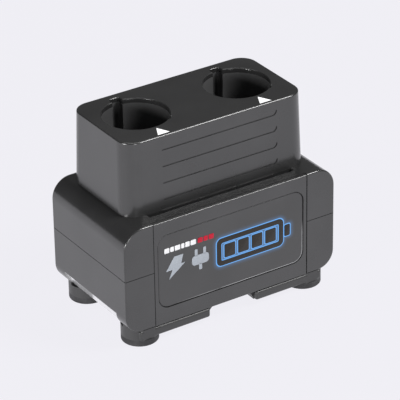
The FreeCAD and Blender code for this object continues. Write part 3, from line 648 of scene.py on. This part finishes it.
class Wardrobe:
    """Builds each finish once and puts it on CAD nodes and new pieces."""

    def __init__(self) -> None:
        """Starts with nothing built."""
        self.built: dict[Trim, bpy.types.Material] = {}

    def get(self, trim: Trim) -> bpy.types.Material:
        """Gives the material of a finish, which is built the first time.

        Args:
            trim: The finish.

        Returns:
            The material.
        """
        if trim not in self.built:
            self.built[trim] = trim.value.material()
        return self.built[trim]

    def dress(self, trim: Trim, *names: str) -> None:
        """Puts a finish on CAD nodes.

        Args:
            trim: The finish.
            names: The nodes' names.
        """
        for name in names:
            self.wear(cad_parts[name], self.get(trim))
            LOG.info("%s wears %s", name, trim.value.name)

    @staticmethod
    def wear(piece: bpy.types.Object, material: bpy.types.Material) -> None:
        """Puts a material in a piece's slots.

        Args:
            piece: What wears it.
            material: What it wears.
        """
        if not piece.material_slots:
            piece.data.materials.append(material)
        for slot in piece.material_slots:
            slot.material = material


# ---- mesh tools ----
class Merge(Enum):
    """How one closed piece changes another."""

    CUT_OUT = "DIFFERENCE"
    MELT_IN = "UNION"


class Bench:
    """Mesh steps that the new pieces are made with."""

    @staticmethod
    def clear() -> None:
        """Deselects every object."""
        bpy.ops.object.select_all(action="DESELECT")

    @staticmethod
    def slab(name: str, low: Point, high: Point) -> bpy.types.Object:
        """Adds a block between two corners.

        Args:
            name: The piece's name.
            low: Its lowest corner.
            high: Its highest corner.

        Returns:
            The block, with its size and place in its mesh.
        """
        Bench.clear()
        middle = [(a + b) / 2 for a, b in zip(low, high)]
        size = [b - a for a, b in zip(low, high)]
        bpy.ops.mesh.primitive_cube_add(size=1.0, location=middle, scale=size)
        piece = bpy.context.object
        piece.name = piece.data.name = name
        bpy.ops.object.transform_apply(location=True, rotation=True, scale=True)
        return piece

    @staticmethod
    def pick_edges(piece: bpy.types.Object, test: Callable[[Vector, Vector], bool]) -> None:
        """Selects some edges, and stays in edit mode on them.

        Args:
            piece: The piece.
            test: Takes an edge's two ends, and says whether it is selected.
        """
        bpy.ops.object.mode_set(mode="EDIT")
        bpy.ops.mesh.select_mode(type="EDGE")
        bpy.ops.mesh.select_all(action="DESELECT")
        bpy.ops.object.mode_set(mode="OBJECT")
        points = piece.data.vertices
        for edge in piece.data.edges:
            first, second = (points[i].co for i in edge.vertices)
            edge.select = test(first, second)
        bpy.ops.object.mode_set(mode="EDIT")

    @staticmethod
    def round_corners(piece: bpy.types.Object, radius: float, segments: int) -> None:
        """Rounds the edges that run front to back.

        Args:
            piece: The piece.
            radius: The corners' radius.
            segments: Flats in each corner.
        """
        Bench.pick_edges(piece, lambda a, b: abs(a.x - b.x) + abs(a.z - b.z) < TINY)
        bpy.ops.mesh.bevel(offset=radius, segments=segments, affect="EDGES")
        bpy.ops.object.mode_set(mode="OBJECT")

    @staticmethod
    def soften_front(piece: bpy.types.Object, front: float, radius: float) -> None:
        """Rounds over the rim of the front face.

        Args:
            piece: The piece.
            front: The front face's y.
            radius: The rim's radius.
        """
        Bench.pick_edges(piece, lambda a, b: abs(a.y - front) + abs(b.y - front) < TINY)
        bpy.ops.mesh.bevel(offset=radius, segments=RIM_FLATS, affect="EDGES")
        bpy.ops.object.mode_set(mode="OBJECT")

    @staticmethod
    def trim(piece: bpy.types.Object, through: Flat, along: Flat, depth: float) -> None:
        """Cuts away what lies to the right of a line on the face.

        Args:
            piece: What is cut.
            through: A point on the line, x and z.
            along: The line's direction.
            depth: The face's y.
        """
        span = math.hypot(*along)
        bpy.ops.object.mode_set(mode="EDIT")
        bpy.ops.mesh.select_all(action="SELECT")
        bpy.ops.mesh.bisect(
            plane_co=(through[0], depth, through[1]),
            plane_no=(along[1] / span, 0.0, -along[0] / span),
            use_fill=True,
            clear_outer=True,
            threshold=TINY,
        )
        bpy.ops.object.mode_set(mode="OBJECT")

    @staticmethod
    def combine(piece: bpy.types.Object, tool: bpy.types.Object, how: Merge) -> None:
        """Cuts one closed piece out of another, or melts it in, and removes the tool.

        Args:
            piece: What is kept.
            tool: What goes away.
            how: Whether the tool is cut out or melted in.
        """
        Bench.clear()
        piece.select_set(True)
        bpy.context.view_layer.objects.active = piece
        cutter = piece.modifiers.new("combine", "BOOLEAN")
        cutter.object = tool
        cutter.operation = how.value
        cutter.solver = "EXACT"
        bpy.ops.object.modifier_apply(modifier=cutter.name)
        bpy.data.objects.remove(tool)

    @staticmethod
    def join(name: str, pieces: list[bpy.types.Object]) -> bpy.types.Object:
        """Joins pieces that make one mark.

        Args:
            name: The mark's name.
            pieces: What it is made of.

        Returns:
            The joined piece.
        """
        Bench.clear()
        for piece in pieces:
            piece.select_set(True)
        bpy.context.view_layer.objects.active = pieces[0]
        if len(pieces) > 1:
            bpy.ops.object.join()
        made = bpy.context.object
        made.name = made.data.name = name
        bpy.ops.object.shade_smooth_by_angle(angle=SMOOTH_ANGLE)
        return made


# ---- sub-assemblies ----
@dataclass
class Assembly:
    """A group of CAD nodes, each with the finish that it wears."""

    finishes: dict[Trim, tuple[str, ...]] = field(default_factory=dict)

    def build(self, wardrobe: Wardrobe) -> None:
        """Dresses the group's nodes."""
        for trim, names in self.finishes.items():
            wardrobe.dress(trim, *names)


@dataclass(frozen=True)
class Glow:
    """Blue light that leaks out around the battery sign: a line, a halo and a lit window."""

    colour: Colour = (0.1, 0.4, 0.92)
    line_reach: Flat = (0.7 * MM, 0.25 * MM)
    line_share: float = 0.85
    halo_reach: Flat = (3.4 * MM, 0.2 * MM)
    halo_share: float = 0.16
    window_edge: float = 0.2 * MM
    window_share: float = 0.3

    def light(self, near: Term, body: Term, outline: float) -> Term:
        """How bright the light is at a point.

        Args:
            near: Distance to the nearest dark stroke.
            body: Distance to the sign's outer edge, below 0 inside.
            outline: Width of the sign's outline.

        Returns:
            A term from 0 to 1.
        """
        line = near.fade(*self.line_reach) * self.line_share
        halo = near.fade(*self.halo_reach) ** 2.0 * self.halo_share
        window = body.fade(-outline, -outline - self.window_edge) * self.window_share
        return (line + halo).most(window).least(1.0)


@dataclass
class Badge(Assembly):
    """The front badge: raised generic marks, and a battery sign with light around it."""

    finishes: dict[Trim, tuple[str, ...]] = field(
        default_factory=lambda: {
            Trim.PANEL: ("front_panel",),
            Trim.MILKY: ("badge_diffuser",),
            Trim.BOARD: ("badge_light_board",),
            Trim.LAMP: ("badge_lights",),
            Trim.SCREW: ("badge_screws",),
        }
    )
    plastic: MouldedPlastic = MouldedPlastic("badge_plastic", roughness=0.38, depth=0.01 * MM)
    plate_centre: Flat = (0.0, 35.75 * MM)
    plate_half: Flat = (40.1 * MM, 18.85 * MM)
    plate_corner: float = 5.5 * MM
    edge_band: Flat = (-0.55 * MM, -0.3 * MM)
    edge_reach: Flat = (8.0 * MM, 17.0 * MM)
    edge_slant: float = 0.3
    # Colour of the painted highlight on the plate's lower rim.
    rim_highlight_colour: Colour = (0.4, 0.4, 0.41)
    edge_scale: float = 60.0
    edge_range: Flat = (0.3, 0.5)
    face: float = -31.6 * MM
    rise: float = 0.16 * MM
    rim: float = 0.04 * MM
    body_centre: Flat = (10.4 * MM, 36.0 * MM)
    body_half: Flat = (18.6 * MM, 7.2 * MM)
    body_corner: float = 2.6 * MM
    outline: float = 2.5 * MM
    hole_corner: float = 0.8 * MM
    nub_centre: Flat = (31.2 * MM, 36.0 * MM)
    nub_half: Flat = (1.6 * MM, 3.0 * MM)
    nub_corner: float = 0.7 * MM
    bar_count: int = 4
    bar_half: Flat = (3.0 * MM, 3.5 * MM)
    bar_pitch: float = 7.6 * MM
    bar_corner: float = 0.6 * MM
    bolt_upper: tuple[Flat, ...] = ((-35.9, 35.4), (-28.2, 35.4), (-26.6, 42.0), (-31.4, 42.0))
    bolt_lower: tuple[Flat, ...] = ((-34.4, 30.9), (-25.6, 37.4), (-31.6, 37.4))
    plug_centre: Flat = (-17.2 * MM, 36.2 * MM)
    plug_half: Flat = (4.6 * MM, 2.5 * MM)
    plug_corner: float = 1.6 * MM
    prong_shift: Flat = (2.3 * MM, 4.0 * MM)
    prong_half: Flat = (0.75 * MM, 1.75 * MM)
    cord_drop: float = 3.8 * MM
    cord_half: Flat = (0.8 * MM, 1.6 * MM)
    stub_corner: float = 0.5 * MM
    dash_z: float = 46.2 * MM
    dash_height: float = 2.5 * MM
    dash_gap: float = 0.55 * MM
    dash_corner: float = 0.35 * MM
    white_start: float = -36.6 * MM
    white_widths: tuple[float, ...] = (2.6, 1.9, 2.9, 1.7, 2.3, 2.9)
    red_start: float = -18.5 * MM
    red_widths: tuple[float, ...] = (2.6, 2.3, 2.7)
    glow: Glow = Glow()

    def bars(self) -> list[Flat]:
        """Finds the middles of the charge bars, left to right."""
        first = self.body_centre[0] - self.bar_pitch * (self.bar_count - 1) / 2
        return [(first + i * self.bar_pitch, self.body_centre[1]) for i in range(self.bar_count)]

    def plate(self, name: str, centre: Flat, half: Flat, corner: float) -> bpy.types.Object:
        """A raised plate with round corners.

        Args:
            name: The piece's name.
            centre: Its middle on the face.
            half: Its half width and half height.
            corner: Its corner radius.

        Returns:
            The plate.
        """
        front = self.face - self.rise
        low = (centre[0] - half[0], front, centre[1] - half[1])
        high = (centre[0] + half[0], self.face + self.rim, centre[1] + half[1])
        made = Bench.slab(name, low, high)
        Bench.round_corners(made, corner, CORNER_FLATS)
        Bench.soften_front(made, front, self.rim)
        return made

    def wedge(self, name: str, corners: tuple[Flat, ...]) -> bpy.types.Object:
        """A raised plate with straight sides.

        Args:
            name: The piece's name.
            corners: Its corners in millimetres, anticlockwise seen from the front.

        Returns:
            The plate.
        """
        front = self.face - self.rise
        points = [(x * MM, z * MM) for x, z in corners]
        xs, zs = [p[0] for p in points], [p[1] for p in points]
        low = (min(xs) - MM, front, min(zs) - MM)
        made = Bench.slab(name, low, (max(xs) + MM, self.face + self.rim, max(zs) + MM))
        for here, after in zip(points, points[1:] + points[:1]):
            Bench.trim(made, here, (after[0] - here[0], after[1] - here[1]), front)
        return made

    def battery_sign(self) -> bpy.types.Object:
        """Makes the dark battery outline with its charge bars.

        Returns:
            The sign.
        """
        shell = self.plate("battery_sign", self.body_centre, self.body_half, self.body_corner)
        half_x, half_z = (h - self.outline for h in self.body_half)
        cx, cz = self.body_centre
        hole = Bench.slab(
            "hole",
            (cx - half_x, self.face - self.rise - MM, cz - half_z),
            (cx + half_x, self.face + MM, cz + half_z),
        )
        Bench.round_corners(hole, self.hole_corner, HOLE_FLATS)
        Bench.combine(shell, hole, Merge.CUT_OUT)
        parts = [shell, self.plate("nub", self.nub_centre, self.nub_half, self.nub_corner)]
        for centre in self.bars():
            parts.append(self.plate("bar", centre, self.bar_half, self.bar_corner))
        return Bench.join("battery_sign", parts)

    def bolt_sign(self) -> bpy.types.Object:
        """Makes the silver lightning bolt.

        Returns:
            The sign.
        """
        upper = self.wedge("upper", self.bolt_upper)
        Bench.combine(upper, self.wedge("lower", self.bolt_lower), Merge.MELT_IN)
        Bench.soften_front(upper, self.face - self.rise, self.rim)
        return Bench.join("bolt_sign", [upper])

    def plug_sign(self) -> bpy.types.Object:
        """Makes the silver plug with two prongs and a stub of cord.

        Returns:
            The sign.
        """
        x, z = self.plug_centre
        parts = [self.plate("body", self.plug_centre, self.plug_half, self.plug_corner)]
        for side in (-1, 1):
            spot = (x + side * self.prong_shift[0], z + self.prong_shift[1])
            parts.append(self.plate("prong", spot, self.prong_half, self.stub_corner))
        stub = (x, z - self.cord_drop)
        parts.append(self.plate("cord", stub, self.cord_half, self.stub_corner))
        return Bench.join("plug_sign", parts)

    def dashes(self, name: str, start: float, widths: tuple[float, ...]) -> bpy.types.Object:
        """Makes a row of short raised dashes.

        Args:
            name: The row's name.
            start: Where it starts.
            widths: Each dash's width, in millimetres.

        Returns:
            The row.
        """
        parts, x = [], start
        for width in (w * MM for w in widths):
            half = (width / 2, self.dash_height / 2)
            spot = (x + width / 2, self.dash_z)
            parts.append(self.plate("dash", spot, half, self.dash_corner))
            x += width + self.dash_gap
        return Bench.join(name, parts)

    def face_material(self) -> bpy.types.Material:
        """Builds the badge's plastic, with a painted highlight on its lower edge and light around
        the battery sign.

        Returns:
            The material.
        """
        made = self.plastic.recipe()
        x, _, z = made.axes()
        edge = box_distance(x, z, self.plate_centre, self.plate_half, self.plate_corner)
        # Painted highlight: a thin band inside the plate's lower rim is paled, in patches, where
        # the rim would catch the light.
        low_side = (x * self.edge_slant - (z - self.plate_centre[1])).fade(*self.edge_reach)
        patches = made.noise(self.edge_scale).fade(*self.edge_range)
        painted_rim_highlight = edge.fade(*self.edge_band) * low_side * patches
        made.feed("Base Color", made.blend(painted_rim_highlight, made.fed("Base Color"), self.rim_highlight_colour))
        body = box_distance(x, z, self.body_centre, self.body_half, self.body_corner)
        ring = abs(body + self.outline / 2) - self.outline / 2
        near = ring.least(box_distance(x, z, self.nub_centre, self.nub_half, self.nub_corner))
        for centre in self.bars():
            near = near.least(box_distance(x, z, centre, self.bar_half, self.bar_corner))
        light = self.glow.light(near, body, self.outline)
        made.feed("Emission Color", made.blend(light, (0.0, 0.0, 0.0), self.glow.colour))
        made.fix("Emission Strength", 1.0)
        return made.material

    def build(self, wardrobe: Wardrobe) -> None:
        """Makes the marks and dresses the badge and what lies behind it.

        Args:
            wardrobe: Where the finishes come from.
        """
        marks = (
            (self.battery_sign(), Trim.DARK_INK),
            (self.bolt_sign(), Trim.SILVER_INK),
            (self.plug_sign(), Trim.SILVER_INK),
            (self.dashes("white_dashes", self.white_start, self.white_widths), Trim.WHITE_INK),
            (self.dashes("red_dashes", self.red_start, self.red_widths), Trim.RED_INK),
        )
        for piece, trim in marks:
            wardrobe.wear(piece, wardrobe.get(trim))
            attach(piece, BASE_BODY)
            LOG.info("%s made", piece.name)
        wardrobe.wear(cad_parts["badge_plate"], self.face_material())
        super().build(wardrobe)


@dataclass
class Housing(Assembly):
    """The two shells, the skids and feet under them, fasteners, weight and label."""

    finishes: dict[Trim, tuple[str, ...]] = field(
        default_factory=lambda: {
            Trim.HOUSING: ("lower_shell", "upper_shell"),
            Trim.SKID: tuple(f"skid_{corner}" for corner in CORNERS),
            Trim.PANEL: ("rear_panel",),
            Trim.FOOT: tuple(f"foot_{corner}" for corner in CORNERS),
            Trim.SCREW: ("housing_screws", "ballast_screws", "ballast_washers"),
            Trim.BALLAST: ("ballast_plate",),
            Trim.FOIL: ("rating_label",),
        }
    )


@dataclass
class ContactSprings(Assembly):
    """The coils under the plungers, each of which rides with its plunger."""

    wire: float = 0.15 * MM
    turns: int = 6
    travel: float = 1.5 * MM
    steps: int = 24
    wire_points: int = 10

    def coil(self, radius: float, height: float) -> bpy.types.Object:
        """Winds one coil that stands on the origin.

        Args:
            radius: Its outer radius.
            height: From its lowest point to its highest.

        Returns:
            The coil, with closed ends.
        """
        Bench.clear()
        bpy.ops.mesh.primitive_circle_add(
            vertices=self.wire_points,
            radius=self.wire,
            location=(radius - self.wire, 0.0, self.wire),
            rotation=(math.pi / 2, 0.0, 0.0),
        )
        made = bpy.context.object
        bpy.ops.object.transform_apply(location=True, rotation=True, scale=True)
        winding = made.modifiers.new("winding", "SCREW")
        winding.screw_offset = (height - 2 * self.wire) / self.turns
        winding.iterations = self.turns
        winding.steps = winding.render_steps = self.steps
        bpy.ops.object.modifier_apply(modifier=winding.name)
        bpy.ops.object.mode_set(mode="EDIT")
        bpy.ops.mesh.select_all(action="SELECT")
        bpy.ops.mesh.fill_holes(sides=0)
        bpy.ops.mesh.normals_make_consistent(inside=False)
        bpy.ops.object.mode_set(mode="OBJECT")
        return made

    def place(self, pattern: bpy.types.Object, pin: str) -> bpy.types.Object:
        """Copies the coil to one spring's place, where the whole coil rides with its pin.

        Args:
            pattern: The coil that is copied.
            pin: The pin's side and number, as its names end.

        Returns:
            The copy.
        """
        node = f"contact_spring_{pin}"
        low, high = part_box(node)
        x, y = (low[0] + high[0]) / 2, (low[1] + high[1]) / 2
        piece = pattern.copy()
        piece.data = pattern.data.copy()
        piece.name = piece.data.name = f"spring_coil_{pin}"
        bpy.context.scene.collection.objects.link(piece)
        piece.data.transform(Matrix.Translation((x, y, low[2])))
        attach(piece, f"pin_{pin}")
        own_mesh(piece)
        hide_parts(node)
        return piece

    def build(self, wardrobe: Wardrobe) -> None:
        """Winds one coil and puts a copy in each CAD spring's place.

        Args:
            wardrobe: Where the finishes come from.
        """
        pins = [f"{side}_{number}" for side in SIDES for number in CONTACTS]
        low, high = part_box(f"contact_spring_{pins[0]}")
        pattern = self.coil((high[0] - low[0]) / 2, high[2] - low[2])
        for pin in pins:
            piece = self.place(pattern, pin)
            wardrobe.wear(piece, wardrobe.get(Trim.SPRING))
            LOG.info("%s made", piece.name)
        bpy.data.objects.remove(pattern)


@dataclass
class Tower(Assembly):
    """The tower, its arrows, and its two wells with their contact pins, boards and wires."""

    finishes: dict[Trim, tuple[str, ...]] = field(
        default_factory=lambda: {
            Trim.TOWER: ("tower_shell",),
            Trim.SCREW: ("tower_screws", "contact_screws"),
            Trim.ARROW: tuple(f"alignment_arrow_{side}" for side in SIDES),
            Trim.CUP: tuple(f"bay_cup_{side}" for side in SIDES),
            Trim.BLOCK: tuple(f"contact_block_{side}" for side in SIDES),
            Trim.BOARD: tuple(f"contact_board_{side}" for side in SIDES),
            Trim.WIRE: tuple(f"bay_harness_{side}" for side in SIDES),
            Trim.CONTACT: tuple(f"contact_pin_{side}_{n}" for side in SIDES for n in CONTACTS),
        }
    )


@dataclass
class LightStrip(Assembly):
    """The smoked light bar in the deck and the lamps under it."""

    finishes: dict[Trim, tuple[str, ...]] = field(
        default_factory=lambda: {
            Trim.SMOKED: ("light_bar",),
            Trim.BOARD: ("strip_light_board",),
            Trim.LAMP: ("strip_lights",),
            Trim.SCREW: ("strip_screws",),
        }
    )


@dataclass
class Electronics(Assembly):
    """The main board, what stands on it, and the power inlet."""

    finishes: dict[Trim, tuple[str, ...]] = field(
        default_factory=lambda: {
            Trim.BOARD: ("main_board",),
            Trim.SCREW: ("board_screws",),
            Trim.CAPACITOR: ("capacitors",),
            Trim.COIL: ("charge_coils",),
            Trim.CHIP: ("control_chips",),
            Trim.SINK: ("heat_sink",),
            Trim.SOCKET: ("board_sockets",),
            Trim.JACK: ("power_jack",),
            Trim.CONTACT: ("power_jack_pin",),
        }
    )


# ---- stage ----
@dataclass(frozen=True)
class SoftBox:
    """A square studio light that faces the object."""

    name: str
    azimuth: float
    elevation: float
    distance: float
    size: float
    power: float

    def build(self, target: Vector) -> None:
        """Adds the light.

        Args:
            target: What it faces.
        """
        a, e = math.radians(self.azimuth), math.radians(self.elevation)
        away = Vector((math.sin(a) * math.cos(e), -math.cos(a) * math.cos(e), math.sin(e)))
        lamp = bpy.data.lights.new(self.name, "AREA")
        lamp.size, lamp.energy = self.size, self.power
        holder = bpy.data.objects.new(self.name, lamp)
        holder.location = target + away * self.distance
        holder.rotation_euler = away.to_track_quat("Z", "Y").to_euler()
        holder.visible_camera = False
        bpy.context.scene.collection.objects.link(holder)


@dataclass
class Stage:
    """The floor, the lights and the camera."""

    floor_size: float = 12.0
    floor_tint: Colour = srgb(241, 240, 246)
    floor_shine: float = 0.96
    floor_colour: Colour = (0.03, 0.03, 0.031)
    fibre_scale: float = 900.0
    fibre_dark: float = 0.996
    world_tint: Colour = (0.06, 0.06, 0.062)
    azimuth: float = -32.894
    elevation: float = 28.460
    roll: float = -0.978
    distance: float = 1.24546
    target: Point = (2.883 * MM, -1.862 * MM, 47.43 * MM)
    lens: float = 239.355
    sensor: float = 36.0
    shift: float = -0.0025
    lights: tuple[SoftBox, ...] = (
        SoftBox("edge_light", 45.0, 47.0, 1.4, 0.5, 16.0),
        SoftBox("top_light", 140.0, 60.0, 1.4, 0.7, 4.0),
        SoftBox("back_panel", 147.0, 30.0, 1.5, 1.2, 0.2),
        SoftBox("side_light", -80.0, 7.0, 1.6, 0.5, 16.0),
        SoftBox("front_light", -15.0, 7.0, 1.8, 0.5, 8.0),
    )

    def floor(self) -> None:
        """Adds the pale floor, which shines so that shadows stay faint."""
        Bench.clear()
        bpy.ops.mesh.primitive_plane_add(size=self.floor_size)
        floor = bpy.context.object
        floor.name = "floor"
        made = Recipe(
            "floor_paper",
            Roughness=1.0,
            Specular_IOR_Level=0.0,
            Emission_Strength=self.floor_shine,
            Base_Color=self.floor_colour,
        )
        fibres = made.noise(self.fibre_scale, FINE)
        darker = scaled(self.floor_tint, self.fibre_dark)
        made.feed("Emission Color", made.blend(fibres, self.floor_tint, darker))
        Wardrobe.wear(floor, made.material)

    def camera(self) -> None:
        """Adds the camera."""
        a, e, r = (math.radians(v) for v in (self.azimuth, self.elevation, self.roll))
        back = Vector((math.sin(a) * math.cos(e), -math.cos(a) * math.cos(e), math.sin(e)))
        right = Vector((0.0, 0.0, 1.0)).cross(back).normalized()
        up = back.cross(right)
        across = right * math.cos(r) + up * math.sin(r)
        upright = up * math.cos(r) - right * math.sin(r)
        turn = Matrix((across, upright, back)).transposed().to_4x4()
        data = bpy.data.cameras.new("camera")
        data.lens, data.sensor_width, data.shift_x = self.lens, self.sensor, self.shift
        holder = bpy.data.objects.new("camera", data)
        place = Vector(self.target) + back * self.distance
        holder.matrix_world = Matrix.Translation(place) @ turn
        bpy.context.scene.collection.objects.link(holder)
        bpy.context.scene.camera = holder

    def world(self) -> None:
        """Sets the dim surround and the plain display transform."""
        world = bpy.data.worlds.new("surround")
        world.use_nodes = True
        sky = next(n for n in world.node_tree.nodes if n.type == "BACKGROUND")
        sky.inputs["Color"].default_value = (*self.world_tint, 1.0)
        bpy.context.scene.world = world
        bpy.context.scene.view_settings.view_transform = "Standard"

    def build(self) -> None:
        """Sets the stage."""
        self.floor()
        self.world()
        for light in self.lights:
            light.build(Vector(self.target))
        self.camera()
        LOG.info("stage set")


def main() -> None:
    """Builds the stage and each sub-assembly."""
    logging.basicConfig(level=logging.INFO, format="%(name)s: %(message)s")
    wardrobe = Wardrobe()
    Stage().build()
    assemblies = (Housing(), Tower(), ContactSprings(), LightStrip(), Badge(), Electronics())
    for assembly in assemblies:
        assembly.build(wardrobe)


if __name__ == "__main__":
    main()
